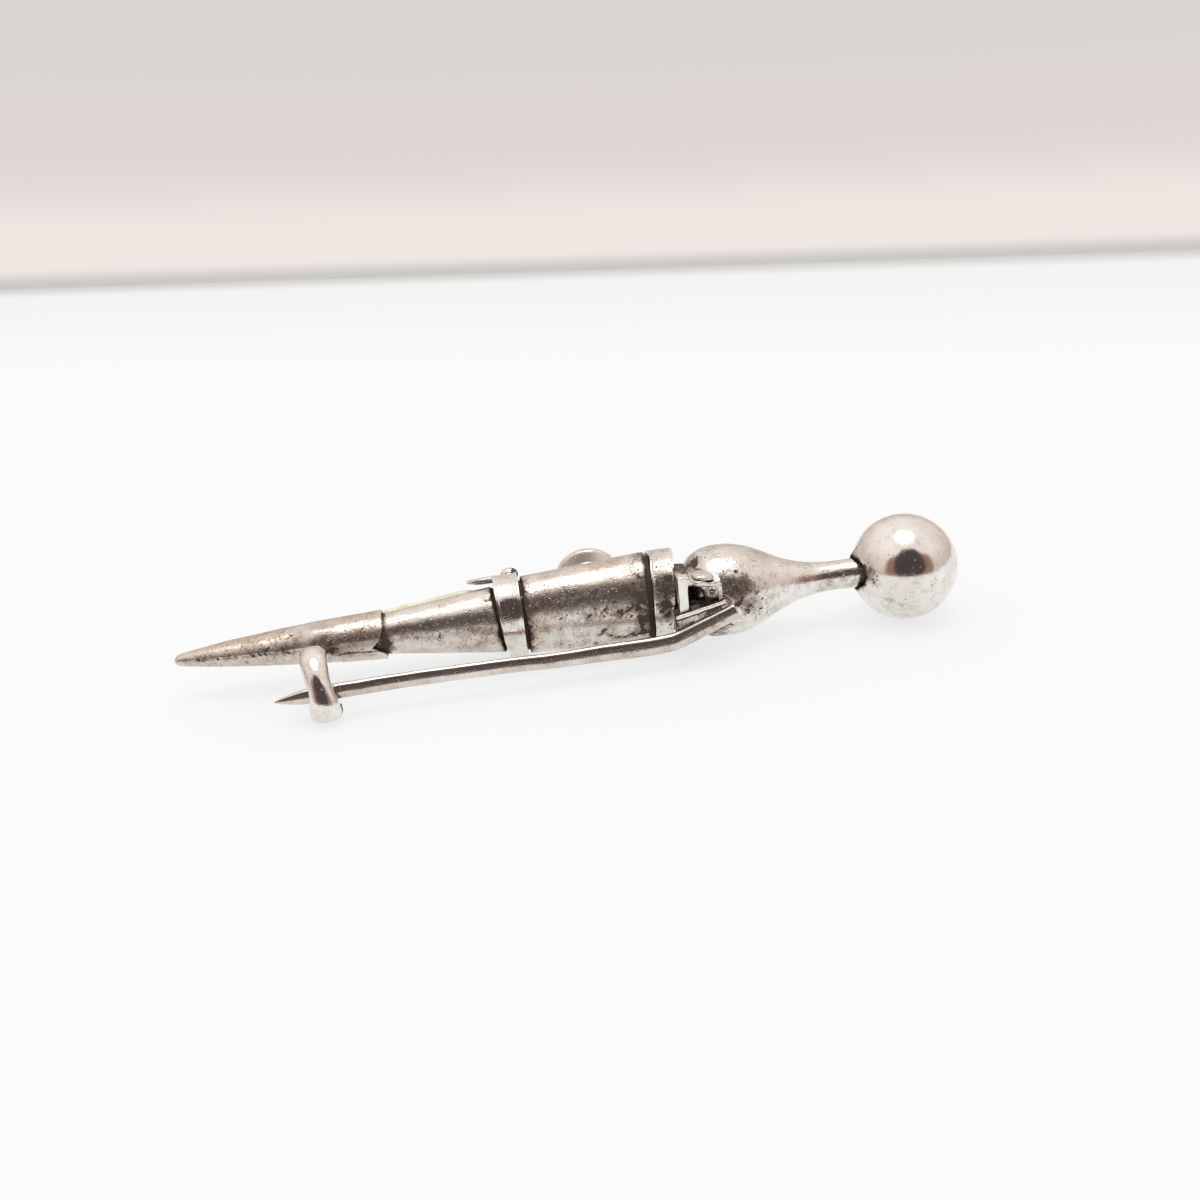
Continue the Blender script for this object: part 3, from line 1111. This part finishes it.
class KiltPinStage(bpy.types.PropertyGroup):
    """Camera, board, room and lamp"""
    lens: bpy.props.FloatProperty(
        name="Lens", description="Focal length in mm on a 36 mm wide sensor", min=10, max=200, default=42)
    distance: bpy.props.FloatProperty(
        name="Distance", description="From the camera to the middle of the brooch", unit="LENGTH",
        min=.02, max=2, default=.106705)
    elevation: bpy.props.FloatProperty(
        name="Elevation", description="Camera's angle above the floor", unit="ROTATION",
        default=math.radians(22))
    yaw: bpy.props.FloatProperty(
        name="Turn", description="Camera's turn from square to the brooch", unit="ROTATION",
        default=math.radians(5))
    roll: bpy.props.FloatProperty(
        name="Roll", description="Camera's roll about its own line of sight", unit="ROTATION",
        default=math.radians(-4.643))
    floor: bpy.props.FloatVectorProperty(
        name="Floor", description="Colour of the white board", subtype="COLOR", min=0, max=1,
        default=(.943, .951, .945))
    floor_glow: bpy.props.FloatProperty(
        name="Floor glow", description="Part of the board's light that is its own", subtype="FACTOR",
        min=0, max=1, default=.86)
    glow: bpy.props.FloatProperty(
        name="Glow strength", description="Strength of the board's own light", min=0, max=2, default=.90)
    shade: bpy.props.FloatVectorProperty(
        name="Shade", description="Colour of the dark shape in front of the board, mirrored in the metal",
        subtype="COLOR", min=0, max=1, default=(.085, .068, .066))
    shade_edge: bpy.props.FloatVectorProperty(
        name="Shade's edge", description="Colour of that shape's pinkish edges", subtype="COLOR", min=0,
        max=1, default=(.34, .20, .165))
    key: bpy.props.FloatProperty(
        name="Key light", description="Strength of the lamp overhead in W/m2", min=0, max=20, default=.95)


def settings(context):
    """The groups of settings for the finishes, the wear and the stage."""
    scene = context.scene
    return scene.kilt_pin_looks, scene.kilt_pin_wear, scene.kilt_pin_stage


class KILTPIN_OT_scabbard(bpy.types.Operator):
    """Build the chape, both lengths of scabbard, the stone and the boss"""
    bl_idname = "kiltpin.scabbard"
    bl_label = "Scabbard"

    def execute(self, context):
        looks, wear, _ = settings(context)
        worn = silver("worn_silver", looks, film=.46, rough=.07, grain=.85)
        soft = silver("chape_silver", looks, film=.52, rough=.1, grain=1.1)
        dull = silver("boss_silver", looks, film=.3, rough=.16, mark=.03, grain=.5)
        chape_surface(wear).build("chape_skin", soft, "brooch", "worn_silver", "chape")
        lower_scabbard_surface(wear).build("lower_scabbard_skin", worn, "brooch", "worn_silver",
                                           "lower_scabbard")
        upper_scabbard_surface(wear).build("upper_scabbard_skin", worn, "brooch", "worn_silver",
                                           "upper_scabbard")
        stone_surface().build("stone_crown", pale_agate(looks), "brooch", "pale_stone", "stone")
        boss_surface().build("boss_dome", dull, "brooch", "bright_silver", "boss")
        return {"FINISHED"}


class KILTPIN_OT_bands(bpy.types.Operator):
    """Build the middle band with its leaves and beads, and the throat band"""
    bl_idname = "kiltpin.bands"
    bl_label = "Bands"

    def execute(self, context):
        looks, wear, _ = settings(context)
        bright = silver("band_silver", looks, film=.2, rough=-.06, mark=-.03, grain=.45, pits=.1)
        worn = silver("throat_silver", looks, film=.18, rough=-.02)
        middle_band_surface(wear).build("middle_band_rims", bright, "brooch", "bright_silver",
                                        "middle_band")
        throat_band_surface(wear).build("throat_band_rims", worn, "brooch", "worn_silver",
                                        "throat_band")
        return {"FINISHED"}


class KILTPIN_OT_handle(bpy.types.Operator):
    """Build the baluster handle and the ball"""
    bl_idname = "kiltpin.handle"
    bl_label = "Handle and ball"

    def execute(self, context):
        looks, wear, _ = settings(context)
        worn = silver("handle_silver", looks, film=.22, rough=-.02, grain=.8)
        bright = silver("ball_silver", looks, film=.12, rough=-.09, grain=.3, pits=.2)
        handle_surface(wear).build("handle_baluster", worn, "brooch", "worn_silver", "handle")
        ball_surface(wear).build("ball_shell", bright, "brooch", "bright_silver", "ball")
        return {"FINISHED"}


class KILTPIN_OT_catch(bpy.types.Operator):
    """Build the bent strip that holds the pin"""
    bl_idname = "kiltpin.catch"
    bl_label = "Catch"

    def execute(self, context):
        looks, wear, _ = settings(context)
        bright = silver("catch_silver", looks, film=.12, rough=-.09, grain=.4, pits=.1)
        catch_surface(wear).build("catch_strip", bright, "brooch", "bright_silver", "catch", sharp=60)
        return {"FINISHED"}


class KILTPIN_OT_hinge(bpy.types.Operator):
    """Build the hinge's bracket and its rivet"""
    bl_idname = "kiltpin.hinge"
    bl_label = "Hinge"

    def execute(self, context):
        looks, _, _ = settings(context)
        sheet = silver("hinge_silver", looks, film=.2, grain=.8)
        bracket_surface().build("hinge_plates", sheet, "brooch", "dark_silver", "hinge_bracket")
        rivet_surface().build("rivet_head", sheet, "brooch", "dark_silver", "rivet")
        return {"FINISHED"}


class KILTPIN_OT_pin(bpy.types.Operator):
    """Build the pin: its flat root and its spring wire"""
    bl_idname = "kiltpin.pin"
    bl_label = "Pin"

    def execute(self, context):
        looks, wear, _ = settings(context)
        dark = silver("root_silver", looks, film=.8, rough=.05, mark=.1)
        drawn = silver("wire_silver", looks, film=.46, rough=.03, grain=.4, pits=.15)
        knuckle_surface().build("pin_root", dark, "pin", "dark_silver", "pin_knuckle")
        stem_surface(wear).build("pin_wire", drawn, "pin", "bright_silver", "pin_stem")
        return {"FINISHED"}


class KILTPIN_OT_stage(bpy.types.Operator):
    """Build the board, the room, the lamp and the camera"""
    bl_idname = "kiltpin.stage"
    bl_label = "Stage"

    def execute(self, context):
        stage = settings(context)[2]
        build_floor(stage)
        build_world(stage)
        build_key(stage)
        build_camera(stage)
        context.scene.view_settings.view_transform = "Standard"
        return {"FINISHED"}


class KILTPIN_PT_panel(bpy.types.Panel):
    """Settings and build buttons of the kilt pin"""
    bl_idname = "KILTPIN_PT_panel"
    bl_label = "Kilt pin"
    bl_space_type = "VIEW_3D"
    bl_region_type = "UI"
    bl_category = "Kilt pin"

    def draw(self, context):
        for group in settings(context):
            box = self.layout.box()
            for key in group.bl_rna.properties.keys():
                if key not in {"rna_type", "name"}:
                    box.prop(group, key)
        for operator in OPERATORS:
            self.layout.operator(operator.bl_idname)


OPERATORS = (KILTPIN_OT_stage, KILTPIN_OT_scabbard, KILTPIN_OT_bands, KILTPIN_OT_handle,
             KILTPIN_OT_catch, KILTPIN_OT_hinge, KILTPIN_OT_pin)
CLASSES = (KiltPinLooks, KiltPinWear, KiltPinStage, *OPERATORS, KILTPIN_PT_panel)


def register():
    """Makes the settings, the operators and the panel known."""
    for cls in CLASSES:
        bpy.utils.register_class(cls)
    bpy.types.Scene.kilt_pin_looks = bpy.props.PointerProperty(type=KiltPinLooks)
    bpy.types.Scene.kilt_pin_wear = bpy.props.PointerProperty(type=KiltPinWear)
    bpy.types.Scene.kilt_pin_stage = bpy.props.PointerProperty(type=KiltPinStage)


def unregister():
    """Takes away what register() made known."""
    del bpy.types.Scene.kilt_pin_stage
    del bpy.types.Scene.kilt_pin_wear
    del bpy.types.Scene.kilt_pin_looks
    for cls in reversed(CLASSES):
        bpy.utils.unregister_class(cls)


def main():
    """Builds every piece round the frame, and notes the size before and after."""
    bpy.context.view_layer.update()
    register()
    bpy.ops.kiltpin.stage()
    bpy.ops.kiltpin.scabbard()
    bpy.ops.kiltpin.bands()
    bpy.ops.kiltpin.handle()
    bpy.ops.kiltpin.catch()
    bpy.ops.kiltpin.hinge()
    bpy.ops.kiltpin.pin()


if __name__ == "__main__":
    main()
